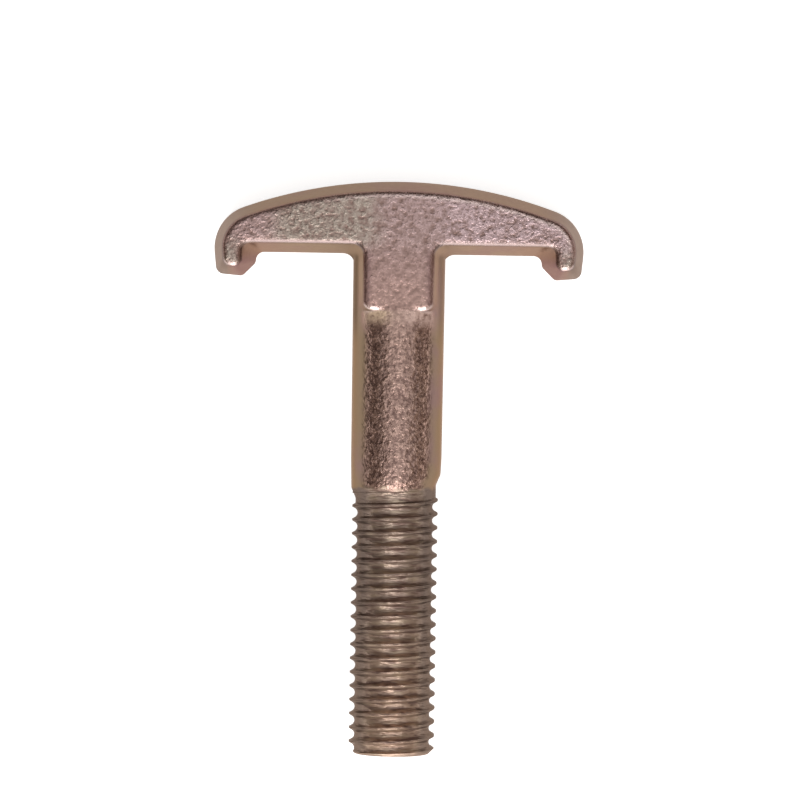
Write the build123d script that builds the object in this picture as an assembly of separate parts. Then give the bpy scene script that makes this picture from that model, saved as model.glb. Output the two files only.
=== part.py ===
from build123d import *

import os
from math import asin, cos, degrees, radians, sqrt, tan

# T slot bolt, M8 x 45: one steel forging with a rolled thread. The wide arched head
# turns under the lips of a channel, and its hooked toes grip behind them.
#
# Frame: the bolt lies flat. X runs along the arms, +Y along the bolt towards the
# head, Z through the head's thickness. The origin is on the bolt's axis, in the
# plane of the arms' bearing edges. Millimetres and degrees.

# Head, as its outline stands at the dies' parting plane
head_span = 33.2
crown_height = 6.5
crown_radius = 41.0
shoulder_radius = 3.5
side_taper = 5.0
head_thickness = 8.3

# Hooked toes, their width as it stands at the flat face
toe_width = 1.6
toe_depth = 2.1
toe_lead_in = 1.15

# Raised tongue that runs from the head down over the shank, at its flat face
tongue_width = 6.3
tongue_length = 5.0

# Drafts and radii of the forging
outer_draft = 12.0
toe_draft = 17.0
neck_fillet = 1.0
toe_root_fillet = 0.5
toe_corner_radius = 0.4
lead_in_radius = 0.45
foot_share = 0.7
tongue_corner_radius = 0.9
face_edge_radius = 0.4

# Plain shank, a little fuller at the neck than where the thread begins
nominal_length = 45.0
neck_diameter = 8.2
shank_diameter = 8.0
shank_length = 20.2
root_depth_in_head = 3.0

# Thread, as its major diameter, after a run-out down to the rolling blank
thread_major_diameter = 7.87
thread_blank_diameter = 7.15
runout_taper_length = 1.1
runout_neck_length = 0.7
tip_chamfer = 0.9

# What follows from them
half_thickness = head_thickness / 2
wall_spread = half_thickness * tan(radians(outer_draft))
toe_spread = half_thickness * tan(radians(toe_draft))
toe_inside = head_span / 2 - wall_spread - toe_width - toe_spread
tongue_side = tongue_width / 2 + wall_spread
tongue_foot = -tongue_length - wall_spread

# Right half of the outline: two tangent arcs, then the corners from the foot of the
# side round the toe and under the arm to the tongue, each with its rounding radius.
# The toe's foot is narrowest at the flat face, and its width there limits the radii.
crown_turn = degrees(asin((head_span / 2 - shoulder_radius) / (crown_radius - shoulder_radius)))
crown = JernArc((0, crown_height), (1, 0), crown_radius, -crown_turn)
shoulder = JernArc(crown @ 1, crown % 1, shoulder_radius, crown_turn - side_taper - 90)
side_drop = (shoulder @ 1).Y + toe_depth
side_foot = (shoulder @ 1).X - side_drop * tan(radians(side_taper))
foot_outside = side_foot - wall_spread * (1 / cos(radians(side_taper)) - tan(radians(side_taper)))
foot_inside = toe_inside + toe_lead_in + toe_spread * sqrt(2) - wall_spread
foot_radius = foot_share * (foot_outside - foot_inside)
corners = [
    (side_foot, -toe_depth, min(toe_corner_radius, foot_radius)),
    (toe_inside + toe_lead_in, -toe_depth, min(lead_in_radius, foot_radius)),
    (toe_inside, toe_lead_in - toe_depth, lead_in_radius),
    (toe_inside, 0, toe_root_fillet),
    (tongue_side, 0, neck_fillet),
    (tongue_side, tongue_foot, tongue_corner_radius),
]


def head_outline():
    """The outline at the parting plane, head and tongue together."""
    corner_points = [(x, y) for x, y, radius in corners]
    below = Polyline(shoulder @ 1, *corner_points, (0, tongue_foot))
    half = Curve() + [crown, shoulder, below]
    return make_face((half + mirror(half, about=Plane.YZ)).edges())


def is_wall(face):
    return abs(face.normal_at().Z) < 0.9


def is_toe_wall(face):
    """The grip wall inside a toe, or the lead-in below it."""
    centre = face.center()
    across = abs(centre.X) - toe_inside
    return is_wall(face) and centre.Y < 0 and -0.01 < across < toe_lead_in


def rising_edges(shape, x, y):
    """The edge that rises from the outline's corner (x, y), and the one opposite."""
    feet = (Vector(x, y), Vector(-x, y))
    return [
        edge
        for edge in shape.edges()
        if abs((edge @ 0).Z - (edge @ 1).Z) > half_thickness / 2
        and any((edge @ end - foot).length < 0.01 for end in (0, 1) for foot in feet)
    ]


def half_head():
    """The head and tongue above the parting plane, as one die forms them."""
    half = extrude(head_outline(), amount=half_thickness)
    outer_walls = [f for f in half.faces() if is_wall(f) and not is_toe_wall(f)]
    half = draft(outer_walls, Plane.XY, outer_draft)
    toe_walls = [f for f in half.faces() if is_toe_wall(f)]
    half = draft(toe_walls, Plane.XY, toe_draft)
    for x, y, radius in corners:
        half = fillet(rising_edges(half, x, y), radius)
    flat_face = half.faces().sort_by(Axis.Z)[-1]
    return fillet(flat_face.outer_wire().edges(), min(face_edge_radius, foot_radius))


def shank():
    """The plain shank, the run-out and the threaded end, turned about the axis."""
    blank_radius = thread_blank_diameter / 2
    thread_radius = thread_major_diameter / 2
    taper_end = -shank_length - runout_taper_length
    neck_end = taper_end - runout_neck_length
    tip = -nominal_length
    profile = Polyline(
        (0, root_depth_in_head),
        (blank_radius, root_depth_in_head),
        (neck_diameter / 2, 0),
        (shank_diameter / 2, -shank_length),
        (blank_radius, taper_end),
        (blank_radius, neck_end),
        (thread_radius, neck_end + blank_radius - thread_radius),
        (thread_radius, tip + tip_chamfer),
        (thread_radius - tip_chamfer, tip),
        (0, tip),
        close=True,
    )
    return revolve(make_face(profile), Axis.Y)


upper = half_head()
t_bolt = upper + mirror(upper, about=Plane.XY) + shank()

os.makedirs("parts", exist_ok=True)
export_step(t_bolt, "parts/t_bolt.step")
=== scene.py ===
from math import asin, atan2, cos, hypot, pi, radians, sin, sqrt, tan

import bmesh
import bpy
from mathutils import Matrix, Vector


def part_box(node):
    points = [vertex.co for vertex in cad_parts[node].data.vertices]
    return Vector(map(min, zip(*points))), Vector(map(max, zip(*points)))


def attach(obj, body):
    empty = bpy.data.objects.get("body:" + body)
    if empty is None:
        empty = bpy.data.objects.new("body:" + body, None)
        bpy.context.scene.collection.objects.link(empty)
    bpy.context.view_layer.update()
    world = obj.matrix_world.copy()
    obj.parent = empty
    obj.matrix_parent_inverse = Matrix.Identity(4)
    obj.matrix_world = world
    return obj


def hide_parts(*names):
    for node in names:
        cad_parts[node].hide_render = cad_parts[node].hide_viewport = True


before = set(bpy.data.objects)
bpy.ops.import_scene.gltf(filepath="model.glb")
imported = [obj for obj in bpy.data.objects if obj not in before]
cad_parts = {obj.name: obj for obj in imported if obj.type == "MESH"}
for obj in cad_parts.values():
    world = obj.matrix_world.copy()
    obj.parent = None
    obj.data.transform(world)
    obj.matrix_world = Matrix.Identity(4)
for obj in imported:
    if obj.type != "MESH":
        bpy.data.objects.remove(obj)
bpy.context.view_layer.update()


# ---- Head and tongue ---------------------------------------------------------------
# The arched head with its hooked toes and the raised tongue below it are one hot
# forging, pressed between two dies that part at half thickness. Both halves are alike,
# with drafted walls, rounded face edges and a thin trimmed line where the dies met.
mm = 0.001
low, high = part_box("t_bolt")
half_span = high.x
crown_height = high.y
half_thickness = high.z
crown_radius = 41.0 * mm
shoulder_radius = 3.9 * mm
side_taper = radians(5)
toe_depth = 2.17 * mm
toe_thickness = 3.75 * mm
toe_inside = half_span - toe_thickness
toe_lead_in = 1.2 * mm
tongue_half_width = 3.12 * mm
tongue_length = 5.0 * mm
outer_draft = radians(12)
toe_draft = radians(17)
trim_height = 0.12 * mm
face_edge_radius = 0.5 * mm
touching = 0.001 * mm
near = 0.01 * mm
cut_threshold = 0.0001 * mm


def select_nothing():
    """Leave edit mode and clear the selection, before a new primitive is added."""
    if bpy.context.mode != "OBJECT":
        bpy.ops.object.mode_set(mode="OBJECT")
    bpy.ops.object.select_all(action="DESELECT")


def start_point(name, place):
    """A new mesh with one vertex, selected, in edit mode: the start of a profile."""
    select_nothing()
    bpy.ops.mesh.primitive_plane_add(size=mm)
    piece = bpy.context.object
    piece.name = piece.data.name = name
    bpy.ops.object.mode_set(mode="EDIT")
    bpy.ops.mesh.select_mode(type="VERT")
    bpy.ops.mesh.select_all(action="SELECT")
    bpy.ops.mesh.merge(type="CENTER")
    bpy.ops.transform.translate(value=place)
    return piece


def draw_to(here, *points):
    """Extrude the selected vertex from here along straight lines to each point."""
    for x, y in points:
        step = (x - here[0], y - here[1], 0)
        bpy.ops.mesh.extrude_region_move(TRANSFORM_OT_translate={"value": step})
        here = (x, y)
    return here


def pick(piece, kind, test):
    """Select just the verts, edges or faces of a piece in edit mode that pass a test."""
    bpy.ops.mesh.select_mode(type={"verts": "VERT", "edges": "EDGE", "faces": "FACE"}[kind])
    bpy.ops.mesh.select_all(action="DESELECT")
    mesh = bmesh.from_edit_mesh(piece.data)
    for part in getattr(mesh, kind):
        if test(part):
            part.select_set(True)
    mesh.select_flush(True)
    bmesh.update_edit_mesh(piece.data)


def apply_modifier(piece, kind, **settings):
    """Add one modifier to a piece with its settings and apply it at once."""
    select_nothing()
    piece.select_set(True)
    bpy.context.view_layer.objects.active = piece
    bpy.ops.object.modifier_add(type=kind)
    modifier = piece.modifiers[-1]
    for name, value in settings.items():
        setattr(modifier, name, value)
    bpy.ops.object.modifier_apply(modifier=modifier.name)


# Half of the outline at the parting plane: two tangent arcs spun, then straight lines
wall_spread = half_thickness * tan(outer_draft)
crown_turn = asin((half_span - shoulder_radius) / (crown_radius - shoulder_radius))
crown_centre = (0, crown_height - crown_radius, 0)
shoulder_centre = (
    (crown_radius - shoulder_radius) * sin(crown_turn),
    crown_centre[1] + (crown_radius - shoulder_radius) * cos(crown_turn),
    0,
)
shoulder_end = (
    shoulder_centre[0] + shoulder_radius * cos(side_taper),
    shoulder_centre[1] - shoulder_radius * sin(side_taper),
)
side_foot = shoulder_end[0] - (shoulder_end[1] + toe_depth) * tan(side_taper)
tongue_side = tongue_half_width + wall_spread
tongue_foot = -tongue_length - wall_spread
foot_inside = toe_inside + toe_lead_in
foot_rise = (side_foot - foot_inside) * tan(side_taper)
corners = [
    (side_foot, foot_rise - toe_depth),
    (foot_inside, -toe_depth),
    (toe_inside, toe_lead_in - toe_depth),
    (toe_inside, 0),
    (tongue_side, 0),
    (tongue_side, tongue_foot),
]
forging = start_point("forging", (0, crown_height, 0))
shoulder_turn = pi / 2 + side_taper - crown_turn
bpy.ops.mesh.spin(steps=40, angle=crown_turn, center=crown_centre, axis=(0, 0, 1))
bpy.ops.mesh.spin(steps=20, angle=shoulder_turn, center=shoulder_centre, axis=(0, 0, 1))
draw_to(shoulder_end, *corners, (0, tongue_foot))
apply_modifier(forging, "MIRROR", use_axis=(True, False, False), merge_threshold=touching)

# The outline is filled, raised to the trimmed line's edge, then inset and raised again
# with the die's draft. The toes' grip walls lean more, so their upper ends move out.
bpy.ops.object.mode_set(mode="EDIT")
bpy.ops.mesh.select_all(action="SELECT")
bpy.ops.mesh.edge_face_add()
if bmesh.from_edit_mesh(forging.data).faces[0].normal.z < 0:
    bpy.ops.mesh.flip_normals()
bpy.ops.mesh.extrude_region_move(TRANSFORM_OT_translate={"value": (0, 0, trim_height)})
bpy.ops.mesh.inset(thickness=wall_spread, depth=half_thickness - trim_height)
extra_lean = half_thickness * (tan(toe_draft) - tan(outer_draft))
lead_in_lean = 0.1 * mm
toe_moves = [
    (corners[1], sqrt(2) * lead_in_lean, 0),
    (corners[2], extra_lean, sqrt(2) * lead_in_lean - extra_lean),
    (corners[3], extra_lean, 0),
]


def rises_from(edge, corner):
    """True for an edge of the walls that climbs from an outline corner, left or right."""
    below, above = sorted((v.co for v in edge.verts), key=lambda place: place.z)
    climbs = above.z - below.z > 0.5 * trim_height
    return climbs and hypot(abs(below.x) - corner[0], below.y - corner[1]) < near


for corner, across, up in toe_moves:
    for side in (-1, 1):
        mesh = bmesh.from_edit_mesh(forging.data)
        rising = [e for e in mesh.edges if rises_from(e, corner)]
        ends = [v.co.copy() for e in rising for v in e.verts if v.co.x * side > 0]
        top_end = max(ends, key=lambda place: place.z)
        pick(forging, "verts", lambda v: (v.co - top_end).length < touching)
        bpy.ops.transform.translate(value=(side * across, up, 0))

# Rounded corners: foot and lead-in of each toe, toe root, neck, and the tongue's foot
corner_roundings = [
    (corners[0], 0.6 * mm, pi / 2),
    (corners[1], 0.55 * mm, pi / 4),
    (corners[2], 0.55 * mm, pi / 4),
    (corners[3], 0.7 * mm, pi / 2),
    (corners[4], 1.0 * mm, pi / 2),
    (corners[5], 0.9 * mm, pi / 2),
]
for corner, radius, turn in corner_roundings:
    pick(forging, "edges", lambda e: rises_from(e, corner))
    bpy.ops.mesh.bevel(offset=radius * tan(turn / 2), segments=8, clamp_overlap=False)
    # what the bevel leaves at the corner is put back on the parting plane
    pick(forging, "verts", lambda v: v.co.z < 0.5 * trim_height)
    bpy.ops.transform.resize(value=(1, 1, 0), center_override=(0, 0, 0))

# The flat face's edge is rounded, and the tongue's face sinks a little towards its foot,
# to run out on the shank. Then the parting plane is opened and the other half mirrored.
wall_turn = pi / 2 - outer_draft
edge_offset = face_edge_radius * tan(wall_turn / 2)
pick(forging, "edges", lambda e: all(v.co.z > half_thickness - near for v in e.verts))
bpy.ops.mesh.bevel(offset=edge_offset, segments=6, clamp_overlap=False)
face_sinks_from = -2.0 * mm
face_sinks_to = -3.5 * mm
face_sink = 0.2 * mm
bpy.ops.mesh.select_all(action="SELECT")
bpy.ops.mesh.bisect(
    plane_co=(0, face_sinks_from, 0), plane_no=(0, 1, 0), threshold=cut_threshold
)
edge_foot = half_thickness - face_edge_radius
pick(forging, "verts", lambda v: v.co.z > edge_foot and v.co.y < face_sinks_to)
bpy.ops.transform.translate(value=(0, 0, -face_sink))
pick(forging, "faces", lambda f: all(v.co.z < touching for v in f.verts))
bpy.ops.mesh.delete(type="FACE")
apply_modifier(forging, "MIRROR", use_axis=(False, False, True), merge_threshold=touching)
bpy.ops.object.mode_set(mode="EDIT")
bpy.ops.mesh.select_all(action="SELECT")
bpy.ops.mesh.normals_make_consistent(inside=False)
select_nothing()


# ---- Shank ---------------------------------------------------------------------------
# The round shank is drawn down from the same blank as the head: a little fuller at the
# neck, then a shoulder down to the diameter on which the thread is rolled. Its upper
# end narrows inside the head, and its lower end fades out under the thread's root.
bolt_length = -low.y
neck_radius = 4.14 * mm
shank_radius = 4.07 * mm
shank_length = 20.35 * mm
blank_radius = 3.66 * mm
shoulder_length = 1.1 * mm
blank_length = 0.9 * mm
root_in_head = 3.0 * mm
pitch = 1.25 * mm
thread_radius = 3.87 * mm
thread_depth = 0.5 * mm
shoulder_lean = radians(-9)
shoulder_lean_from = -shank_length + 2.0 * mm
crest_lean = radians(-4.5)
root_radius = thread_radius - thread_depth
shoulder_foot = -shank_length - shoulder_length
blank_end = shoulder_foot - blank_length

# Each ring has its radius, its place along the axis and how far it leans
shank_rings = [
    (blank_radius, root_in_head, 0),
    (neck_radius, 0, 0),
    (neck_radius - 0.02 * mm, -tongue_length - 1.5 * mm, 0),
    (shank_radius + 0.01 * mm, shoulder_lean_from, 0),
    (shank_radius, -shank_length, shoulder_lean),
    (shank_radius - 0.03 * mm, -shank_length - 0.15 * mm, shoulder_lean),
    (shank_radius - 0.1 * mm, -shank_length - 0.3 * mm, shoulder_lean),
    (blank_radius + 0.03 * mm, shoulder_foot + 0.15 * mm, shoulder_lean),
    (blank_radius, shoulder_foot, shoulder_lean),
    (blank_radius - 0.04 * mm, blank_end, crest_lean),
    (root_radius - 0.1 * mm, blank_end - 0.1 * mm, crest_lean),
    (root_radius - 0.4 * mm, blank_end - pitch, 0),
]


def turned_piece(name, rings, around=128):
    """A closed round body about the bolt's axis, from a circle extruded ring by ring."""
    select_nothing()
    radius, place, lean = rings[0]
    bpy.ops.mesh.primitive_circle_add(
        vertices=around, radius=radius, location=(0, place, 0), rotation=(pi / 2, 0, 0),
        fill_type="NGON",
    )
    piece = bpy.context.object
    piece.name = piece.data.name = name
    bpy.ops.object.transform_apply(location=True, rotation=True, scale=True)
    bpy.ops.object.mode_set(mode="EDIT")
    bpy.ops.mesh.select_all(action="SELECT")
    for next_radius, next_place, next_lean in rings[1:]:
        bpy.ops.mesh.extrude_region_move(
            TRANSFORM_OT_translate={"value": (0, next_place - place, 0)}
        )
        bpy.ops.transform.resize(
            value=(next_radius / radius, 1, next_radius / radius),
            center_override=(0, next_place, 0),
        )
        if next_lean != lean:
            bpy.ops.transform.rotate(
                value=next_lean - lean, orient_axis="Z", center_override=(0, next_place, 0)
            )
        radius, place, lean = next_radius, next_place, next_lean
    bpy.ops.mesh.select_all(action="SELECT")
    bpy.ops.mesh.normals_make_consistent(inside=False)
    select_nothing()
    return piece


# The forging dies and the drawn blank are never quite in line
shank_offset = 0.05 * mm
shank = turned_piece("shank", shank_rings)
shank.select_set(True)
bpy.ops.transform.translate(value=(shank_offset, 0, 0))
bpy.ops.object.transform_apply(location=True, rotation=False, scale=False)


# ---- Rolled thread -------------------------------------------------------------------
# The thread is rolled between flat dies and not cut: the metal rises to a crest with a
# fine seam along its middle, over a rounded root. Right hand, sixty degrees, 1.25 mm
# pitch. The first turn runs out on to the blank and the tip is chamfered.
crest_half_width = 0.09 * mm
seam_half_width = 0.45 * crest_half_width
seam_depth = 0.03 * mm
root_rounding = 0.45 * mm
flank_lean = radians(30)
flank_turn = pi - 2 * flank_lean
thread_top = -19.58 * mm
first_crest = -21.45 * mm
start_cut = first_crest + 0.65 * mm
end_cut = -bolt_length - 0.45 * mm
tip_chamfer = 0.5 * mm
root_top = root_radius + root_rounding * (1 - sin(flank_lean))
root_half = root_rounding * cos(flank_lean)
crest_shoulder = thread_radius - 0.02 * mm
turns = 23
around = 96
seam_radius = thread_radius - seam_depth
root_centre = (root_radius + root_rounding, thread_top + pitch / 2, 0)
thread = start_point("thread", (seam_radius, thread_top, 0))
draw_to(
    (seam_radius, thread_top),
    (thread_radius, thread_top + seam_half_width),
    (crest_shoulder, thread_top + crest_half_width),
    (root_top, thread_top + pitch / 2 - root_half),
)
bpy.ops.mesh.spin(steps=8, angle=flank_turn, center=root_centre, axis=(0, 0, 1))
draw_to(
    (root_top, thread_top + pitch / 2 + root_half),
    (crest_shoulder, thread_top + pitch - crest_half_width),
    (thread_radius, thread_top + pitch - seam_half_width),
    (seam_radius, thread_top + pitch),
)

# The profile is swept down the helix, its turns are joined along the crest's seam, and
# both ends are cut square and closed
apply_modifier(
    thread, "SCREW", axis="Y", angle=-2 * pi, screw_offset=-pitch, iterations=turns,
    steps=around, render_steps=around, use_merge_vertices=False,
)
bpy.ops.object.mode_set(mode="EDIT")
bpy.ops.mesh.select_all(action="SELECT")
bpy.ops.mesh.remove_doubles(threshold=2 * touching)
for cut_at, outwards in ((start_cut, 1), (end_cut, -1)):
    bpy.ops.mesh.select_all(action="SELECT")
    bpy.ops.mesh.bisect(
        plane_co=(0, cut_at, 0), plane_no=(0, outwards, 0), clear_outer=True, use_fill=True,
        threshold=cut_threshold,
    )
bpy.ops.mesh.select_all(action="SELECT")
bpy.ops.mesh.normals_make_consistent(inside=False)

# Where the crest may reach: it grows out of the blank, and the tip is chamfered
clear_of_crest = 0.2 * mm
reach_rings = [
    (blank_radius - 0.1 * mm, first_crest + 1.0 * mm, 0),
    (blank_radius - 0.1 * mm, first_crest + 0.5 * mm, 0),
    (thread_radius - 0.03 * mm, first_crest, 0),
    (thread_radius + clear_of_crest, first_crest - 1.1 * mm, 0),
    (thread_radius + clear_of_crest, -bolt_length + tip_chamfer + clear_of_crest, 0),
    (thread_radius - tip_chamfer, -bolt_length, 0),
]
reach = turned_piece("reach", reach_rings)
apply_modifier(thread, "BOOLEAN", operation="INTERSECT", solver="EXACT", object=reach)


def discard(piece):
    """Delete a shape that was only there to cut or to be joined."""
    select_nothing()
    piece.select_set(True)
    bpy.ops.object.delete()


discard(reach)
apply_modifier(shank, "BOOLEAN", operation="UNION", solver="EXACT", object=thread)
discard(thread)
bolt = forging
apply_modifier(bolt, "BOOLEAN", operation="UNION", solver="EXACT", object=shank)
discard(shank)
bolt.select_set(True)
bpy.context.view_layer.objects.active = bolt
bpy.ops.object.mode_set(mode="EDIT")
bpy.ops.mesh.select_all(action="SELECT")
bpy.ops.mesh.remove_doubles(threshold=touching)
bolt.name = bolt.data.name = "forged_bolt"

# Smooth shading with crisp edges kept, and flat faces kept flat beside their roundings
select_nothing()
bolt.select_set(True)
bpy.context.view_layer.objects.active = bolt
smooth_up_to = radians(38)
bpy.ops.object.shade_smooth_by_angle(angle=smooth_up_to)
apply_modifier(bolt, "WEIGHTED_NORMAL", keep_sharp=True)


# ---- Finish --------------------------------------------------------------------------
# The whole bolt is blasted, zinc plated and passivated. The skin stays pitted where the
# blast struck it squarely, drawn walls stay smooth, and the passivation's colour drifts
# from mauve to olive, over tan flanks.
finish = bpy.data.materials.new("zinc_passivated_steel")
finish.use_nodes = True
nodes, links = finish.node_tree.nodes, finish.node_tree.links
shader = nodes["Principled BSDF"]
place = nodes.new("ShaderNodeTexCoord").outputs["Object"]


def wire(value, socket):
    """Link an output to a socket, or set the socket to a number or colour."""
    if isinstance(value, bpy.types.NodeSocket):
        links.new(value, socket)
    else:
        socket.default_value = value


def calculate(operation, *values):
    """One Math node; returns its result."""
    node = nodes.new("ShaderNodeMath")
    node.operation = operation
    for value, socket in zip(values, node.inputs):
        wire(value, socket)
    return node.outputs[0]


def plus(first, *others):
    """The sum of some amounts."""
    for other in others:
        first = calculate("ADD", first, other)
    return first


def times(first, *others):
    """The product of some amounts, so it is high only where all of them are."""
    for other in others:
        first = calculate("MULTIPLY", first, other)
    return first


def fade(value, start, end):
    """0 at start and 1 at end, smoothly between them and level beyond."""
    node = nodes.new("ShaderNodeMapRange")
    node.interpolation_type = "SMOOTHSTEP"
    for item, socket in zip((value, start, end), node.inputs):
        wire(item, socket)
    return node.outputs["Result"]


def band(value, start, full_from, full_to, end):
    """1 from full_from to full_to, fading smoothly to 0 at start and at end."""
    return times(fade(value, start, full_from), fade(value, end, full_to))


def noise(scale, detail=2.0, roughness=0.5, stretch=(1, 1, 1)):
    """Noise of so many grains per millimetre at the bolt's own coordinates."""
    mapping = nodes.new("ShaderNodeMapping")
    mapping.inputs["Scale"].default_value = stretch
    links.new(place, mapping.inputs["Vector"])
    node = nodes.new("ShaderNodeTexNoise")
    node.inputs["Scale"].default_value = scale / mm
    node.inputs["Detail"].default_value = detail
    node.inputs["Roughness"].default_value = roughness
    links.new(mapping.outputs["Vector"], node.inputs["Vector"])
    return node.outputs["Fac"]


def mix(factor, first, second):
    """A mix of two colours."""
    node = nodes.new("ShaderNodeMix")
    node.data_type = "RGBA"
    wire(factor, node.inputs["Factor"])
    wire(first if not isinstance(first, tuple) else (*first, 1), node.inputs["A"])
    wire(second if not isinstance(second, tuple) else (*second, 1), node.inputs["B"])
    return node.outputs["Result"]


# Where on the bolt a point is: each zone is 1 inside and fades out round its border
spots = nodes.new("ShaderNodeSeparateXYZ")
links.new(place, spots.inputs[0])
across, along = spots.outputs["X"], spots.outputs["Y"]
aside = calculate("ABSOLUTE", across)
on_head = fade(along, -1.0 * mm, 2.0 * mm)
on_shank = fade(along, 0.5 * mm - tongue_length, -3.0 * mm - tongue_length)
thread_border = plus(along, times(noise(0.8), 1.5 * mm))
threaded = fade(thread_border, 0.35 * mm - shank_length, -0.1 * mm - shank_length)
plain = calculate("SUBTRACT", 1.0, threaded)

# Which way the metal faces there, with the face edges softened as the blast leaves them
edge_softness = 0.55 * mm
softened = nodes.new("ShaderNodeBevel")
softened.samples = 6
wire(times(plain, edge_softness), softened.inputs["Radius"])
facing = nodes.new("ShaderNodeSeparateXYZ")
links.new(softened.outputs["Normal"], facing.inputs[0])
towards_head = facing.outputs["Y"]
squareness = calculate("ABSOLUTE", facing.outputs["Z"])
skinned = calculate("SUBTRACT", squareness, times(on_shank, 0.1))
skinned = times(fade(skinned, 0.55, 0.7), plain)
pitted = times(fade(plus(squareness, times(on_shank, 0.2)), 0.8, 0.95), plain)

# Two grains run through the finish: slow clouds of colour, and the blast's own fine one
drift = noise(0.22, detail=3.0)
grain = noise(2.3, detail=3.0, roughness=0.6)

# The skin: lilac to mauve down the bolt, olive on the left arm and the toes' tips,
# brighter on the right arm, and dark in its pits and in fine specks on the shank
lilac = (0.43, 0.305, 0.295)
bright_lilac = (0.54, 0.4, 0.41)
mauve = (0.475, 0.32, 0.268)
tongue_rose = (0.3, 0.17, 0.15)
olive = (0.385, 0.322, 0.275)
pit_brown = (0.22, 0.14, 0.12)
speck_brown = (0.07, 0.034, 0.03)
left_arm_middle = 6.4 * mm
from_middle = calculate("ABSOLUTE", plus(across, left_arm_middle))
left_arm = times(fade(from_middle, left_arm_middle, 2.5 * mm), on_head)
olive_patch = fade(plus(left_arm, drift), 0.55, 1.35)
on_tongue = band(along, 1.5 * mm, -1.0 * mm, 0.2 * mm - tongue_length, -0.1 * mm - tongue_length)
toe_tips = times(fade(aside, 13.6 * mm, 15.0 * mm), fade(along, 2.0 * mm, 0))
right_arm = times(fade(across, 2.0 * mm, 6.0 * mm), on_head)
skin_colour = mix(fade(along, 4.0 * mm, -8.0 * mm), lilac, mauve)
skin_colour = mix(olive_patch, skin_colour, olive)
skin_colour = mix(times(on_tongue, 0.3), skin_colour, tongue_rose)
skin_colour = mix(toe_tips, skin_colour, olive)
skin_colour = mix(right_arm, skin_colour, bright_lilac)
skin_colour = mix(fade(grain, 0.25, 0.68), pit_brown, skin_colour)
speckled = times(plus(0.35, times(fade(squareness, 0.99, 0.88), 0.25)), on_shank)
specks = times(fade(noise(3.2, detail=1.5), 0.53, 0.42), speckled)
skin_colour = mix(specks, skin_colour, speck_brown)

# Painted shade darkens the skin along the tongue's sides, and a painted highlight brightens it
# just inside the crown's edge
tongue_side_shade = (0.16, 0.09, 0.09)
painted_crown_highlight = (0.8, 0.64, 0.61)
tongue_shade_mask = band(aside, 2.2 * mm, 3.0 * mm, 3.2 * mm, 4.0 * mm)
tongue_shade_mask = times(tongue_shade_mask, band(along, 1.0 * mm, -0.5 * mm, -4.6 * mm, -5.0 * mm))
# A painted highlight: a light row just inside the crown's edge, mostly on the right arm
crown_highlight_mask = times(band(squareness, 0.99995, 0.9992, 0.985, 0.97), on_head)
crown_highlight_mask = times(crown_highlight_mask, fade(towards_head, 0.0, 0.02))
crown_highlight_mask = times(crown_highlight_mask, fade(across, -12.0 * mm, 4.0 * mm))
skin_colour = mix(times(tongue_shade_mask, 0.7), skin_colour, tongue_side_shade)
skin_colour = mix(crown_highlight_mask, skin_colour, painted_crown_highlight)

# The walls: tan, with mauve clouds, grey at the head's ends, red under the arms towards
# the toes and mauve on their lead-ins, and painted shade down the sides of the neck
tan_left = (0.207, 0.155, 0.115)
tan_right = (0.237, 0.172, 0.135)
shank_tan = (0.19, 0.134, 0.085)
grey_end = (0.15, 0.13, 0.13)
under_red = (0.22, 0.14, 0.112)
toe_mauve = (0.195, 0.12, 0.13)
painted_neck_shade = (0.06, 0.048, 0.038)
wall_colour = mix(fade(across, -4.0 * mm, 4.0 * mm), tan_left, tan_right)
wall_colour = mix(times(on_shank, 0.8), wall_colour, shank_tan)
wall_colour = mix(times(fade(drift, 0.45, 0.75), 0.7), wall_colour, toe_mauve)
wall_colour = mix(fade(aside, 12.0 * mm, 16.0 * mm), wall_colour, grey_end)
under_arm = band(aside, 9.0 * mm, 12.5 * mm, 14.5 * mm, 15.5 * mm)
under_arm = times(under_arm, fade(along, 1.5 * mm, 0.2 * mm))
wall_colour = mix(under_arm, wall_colour, under_red)
lead_in = times(under_arm, fade(along, 0.2 * mm, -1.0 * mm))
wall_colour = mix(lead_in, wall_colour, toe_mauve)
# Painted shade down the sides of the neck, heavier on the left
neck_shade_mask = band(aside, 3.45 * mm, 3.85 * mm, 4.3 * mm, 4.8 * mm)
neck_shade_mask = times(neck_shade_mask, band(along, 0.3 * mm, -0.4 * mm, -5.0 * mm, -9.0 * mm))
neck_shade_strength = plus(times(fade(across, 5.0 * mm, -5.0 * mm), 0.45), 0.4)
wall_colour = mix(times(neck_shade_mask, neck_shade_strength), wall_colour, painted_neck_shade)

# The thread: brown, lighter towards the tip, with painted shade at the sides, streaked
# along the rolling, and plain on the sheared end
thread_brown = (0.35, 0.266, 0.218)
thread_tan = (0.46, 0.33, 0.255)
shaded_thread_side = (0.158, 0.119, 0.1)
shaded_thread_side_tan = (0.205, 0.152, 0.123)
streak_yellow = (0.5, 0.4, 0.29)
streak_brown = (0.22, 0.15, 0.125)
sheared_tan = (0.3, 0.22, 0.175)
down_thread = fade(along, -27.0 * mm, -44.0 * mm)
streaks = noise(0.7, detail=2.0, stretch=(1, 4, 1))
thread_colour = mix(down_thread, thread_brown, thread_tan)
thread_colour = mix(times(fade(streaks, 0.5, 0.66), 0.45), thread_colour, streak_yellow)
thread_colour = mix(fade(streaks, 0.32, 0.5), streak_brown, thread_colour)
# Painted shade on the thread's sides, where the round thread turns away from the light
thread_side_shaded = mix(down_thread, shaded_thread_side, shaded_thread_side_tan)
thread_colour = mix(fade(aside, 2.0 * mm, 2.9 * mm), thread_colour, thread_side_shaded)
sheared_end = fade(along, 0.3 * mm - bolt_length, 0.05 * mm - bolt_length)
thread_colour = mix(sheared_end, thread_colour, sheared_tan)
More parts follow.
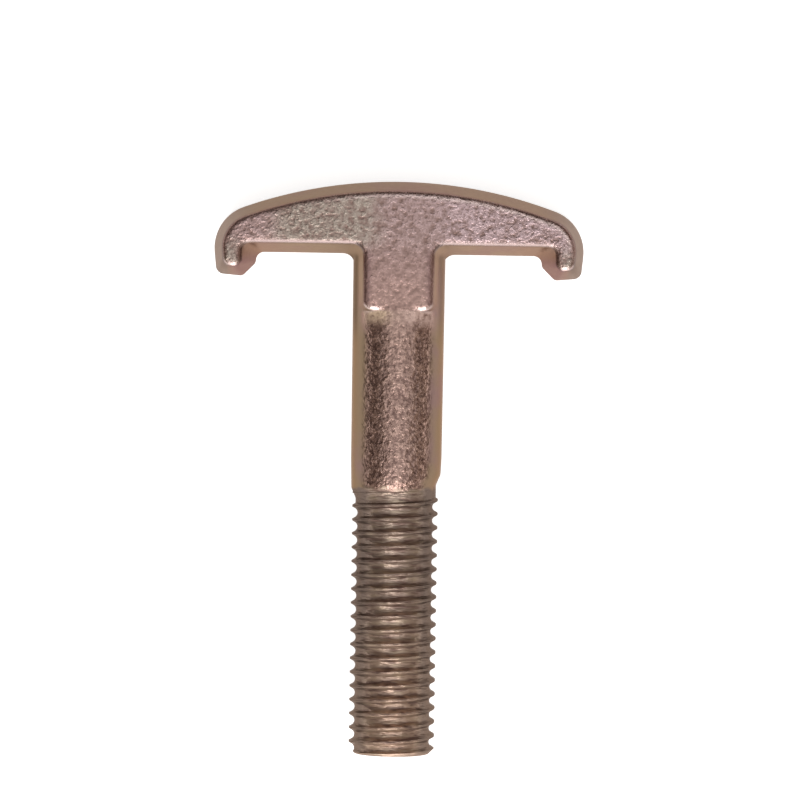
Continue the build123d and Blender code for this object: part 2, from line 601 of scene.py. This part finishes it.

# Face edges: a painted highlight where they face the tip and its low lamp, brightest at
# the toes and at the tongue's corners, and painted shade on all the others
edge_shade_brown = (0.29, 0.175, 0.15)
painted_edge_highlight = (0.2, 0.152, 0.145)
painted_corner_highlight = (0.6, 0.47, 0.44)
off_shank = calculate("SUBTRACT", 1.0, on_shank)
face_edge = times(band(squareness, 0.995, 0.95, 0.65, 0.5), off_shank)
# Painted shade along the face edges that do not face the tip
edge_shade_mask = times(face_edge, fade(towards_head, -0.25, 0.1), fade(grain, 0.95, 0.45))
# Painted highlight along the face edges that face the tip and its low lamp
edge_highlight_mask = times(face_edge, fade(towards_head, -0.2, -0.45), fade(grain, 0.0, 0.35))
tongue_corners = times(fade(along, -3.5 * mm, -4.3 * mm), fade(aside, 0.8 * mm, 1.6 * mm))
brightest_highlight_spots = calculate("MAXIMUM", fade(aside, 13.2 * mm, 14.2 * mm), tongue_corners)

# A pale crust of plating is left on the shank in the corner below the tongue
crust_yellow = (0.6, 0.45, 0.32)
crust_pink = (0.56, 0.4, 0.35)
crust = fade(plus(along, times(drift, 1.2 * mm)), -6.2 * mm, -4.8 * mm)
crust = times(crust, fade(along, 0.1 * mm - tongue_length, -0.2 * mm - tongue_length))
crust = times(crust, fade(squareness, 0.6, 0.8), fade(grain, 0.15, 0.6))
crust = times(crust, plus(0.25, times(fade(aside, 0.4 * mm, 1.4 * mm), 0.75)))
crust_colour = mix(fade(across, -1.5 * mm, 1.0 * mm), crust_yellow, crust_pink)

# Everything together: colour, the tint at a glance, gloss and metal
flank_glance = (0.74, 0.6, 0.51)
thread_glance = (0.46, 0.38, 0.33)
wall_colour = mix(threaded, wall_colour, thread_colour)
body_colour = mix(skinned, wall_colour, skin_colour)
# The painted shade and the painted highlight of the face edges go over the body colour
body_colour = mix(edge_shade_mask, body_colour, edge_shade_brown)
body_colour = mix(edge_highlight_mask, body_colour, mix(brightest_highlight_spots, painted_edge_highlight, painted_corner_highlight))
wire(mix(crust, body_colour, crust_colour), shader.inputs["Base Color"])
wire(mix(threaded, flank_glance, thread_glance), shader.inputs["Specular Tint"])
bare_wall = calculate("SUBTRACT", plain, skinned)
roughness = plus(0.2, times(grain, 0.12), times(threaded, 0.14), times(bare_wall, 0.05))
wire(roughness, shader.inputs["Roughness"])
dullness = calculate("MAXIMUM", times(threaded, 0.2), times(crust, 0.85))
wire(calculate("SUBTRACT", 1.0, dullness), shader.inputs["Metallic"])

# The blast's pits, deepest on the shank and the arms, and creases along the thread
pit_depth = 0.2 * mm
crease_depth = 0.21 * mm
pits = nodes.new("ShaderNodeBump")
pits.inputs["Distance"].default_value = pit_depth
arm_pitting = plus(0.5, times(fade(aside, 3.0 * mm, 8.0 * mm), 0.2), times(on_head, 0.12))
pitting = times(pitted, calculate("MAXIMUM", arm_pitting, times(on_shank, 0.65)))
wire(plus(0.08, pitting), pits.inputs["Strength"])
wire(grain, pits.inputs["Height"])
links.new(softened.outputs["Normal"], pits.inputs["Normal"])
creases = nodes.new("ShaderNodeBump")
creases.inputs["Distance"].default_value = crease_depth
wire(threaded, creases.inputs["Strength"])
wire(streaks, creases.inputs["Height"])
links.new(pits.outputs["Normal"], creases.inputs["Normal"])
links.new(creases.outputs["Normal"], shader.inputs["Normal"])
bolt.data.materials.clear()
bolt.data.materials.append(finish)
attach(bolt, "root")
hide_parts("t_bolt")


# ---- Floor ---------------------------------------------------------------------------
# The bolt lies on its face on a plain white sheet, which glows a little to the eye and
# in reflections, so it stays white up to its far edge and still takes the shadow.
sheet_white = (0.9, 0.9, 0.9, 1)
sheet_glow = 0.7
select_nothing()
bpy.ops.mesh.primitive_plane_add(size=4, location=(0, 0, low.z))
floor = bpy.context.object
floor.name = "floor"
sheet = bpy.data.materials.new("white_sheet")
sheet.use_nodes = True
nodes, links = sheet.node_tree.nodes, sheet.node_tree.links
paper = nodes["Principled BSDF"]
paper.inputs["Base Color"].default_value = sheet_white
paper.inputs["Roughness"].default_value = 0.95
paper.inputs["Specular IOR Level"].default_value = 0.0
rays = nodes.new("ShaderNodeLightPath")
seen = calculate("ADD", rays.outputs["Is Camera Ray"], rays.outputs["Is Glossy Ray"])
seen.node.use_clamp = True
glow = nodes.new("ShaderNodeEmission")
glow.inputs["Color"].default_value = (1, 1, 1, 1)
wire(times(seen, sheet_glow), glow.inputs["Strength"])
lit_sheet = nodes.new("ShaderNodeAddShader")
links.new(paper.outputs[0], lit_sheet.inputs[0])
links.new(glow.outputs[0], lit_sheet.inputs[1])
links.new(lit_sheet.outputs[0], nodes["Material Output"].inputs["Surface"])
floor.data.materials.append(sheet)


# ---- Studio and lamp -----------------------------------------------------------------
# A small studio: a soft bright ceiling that leans a little towards the bolt's tip, a
# ring of curtain round it, darkest beyond the head, and one low lamp beyond the tip.
curtain_dark = (0.10, 0.085, 0.08)
curtain_light = (0.42, 0.35, 0.29)
ceiling_white = (1.1, 1.1, 1.1)
scene = bpy.context.scene
scene.view_settings.view_transform = "Standard"
world = bpy.data.worlds.new("studio")
world.use_nodes = True
nodes, links = world.node_tree.nodes, world.node_tree.links
direction = nodes.new("ShaderNodeSeparateXYZ")
links.new(nodes.new("ShaderNodeTexCoord").outputs["Generated"], direction.inputs[0])
east, north, up = direction.outputs
towards_tip = plus(times(north, -0.5), times(east, 0.18))
curtain = mix(fade(towards_tip, -0.45, 0.3), curtain_dark, curtain_light)
overhead = plus(times(up, 0.99), times(north, -0.14), times(east, 0.08))
backdrop = mix(fade(overhead, 0.7, 0.9), curtain, ceiling_white)
wire(backdrop, nodes["Background"].inputs["Color"])
nodes["Background"].inputs["Strength"].default_value = 1.0
scene.world = world

lamp_angle = radians(68)
lamp_distance = 0.6
lamp_width = 0.35
lamp_length = 0.8
lamp_power = 4.0
bpy.ops.object.light_add(
    type="AREA",
    location=(0, -lamp_distance * sin(lamp_angle), lamp_distance * cos(lamp_angle)),
    rotation=(lamp_angle, 0, 0),
)
lamp = bpy.context.object
lamp.name = "low_lamp"
lamp.data.shape = "RECTANGLE"
lamp.data.size = lamp_width
lamp.data.size_y = lamp_length
lamp.data.energy = lamp_power


# ---- Camera --------------------------------------------------------------------------
# A long lens stands over the arms and tips a little down the bolt, to take in its
# thread too. It is turned by about a degree, so the bolt leans as it lies.
camera_height = 0.4
camera_turn = radians(0.913)
view_centre = Vector((0.0003, -0.01313, 0))
bpy.ops.object.camera_add(location=(0, 0, camera_height))
camera = bpy.context.object
camera.rotation_euler = (-atan2(-view_centre.y, camera_height), 0, camera_turn)
camera.location.x = view_centre.x + view_centre.y * sin(camera_turn)
camera.data.sensor_width = 36
camera.data.lens = 200.0
camera.data.clip_start = 0.01
scene.camera = camera
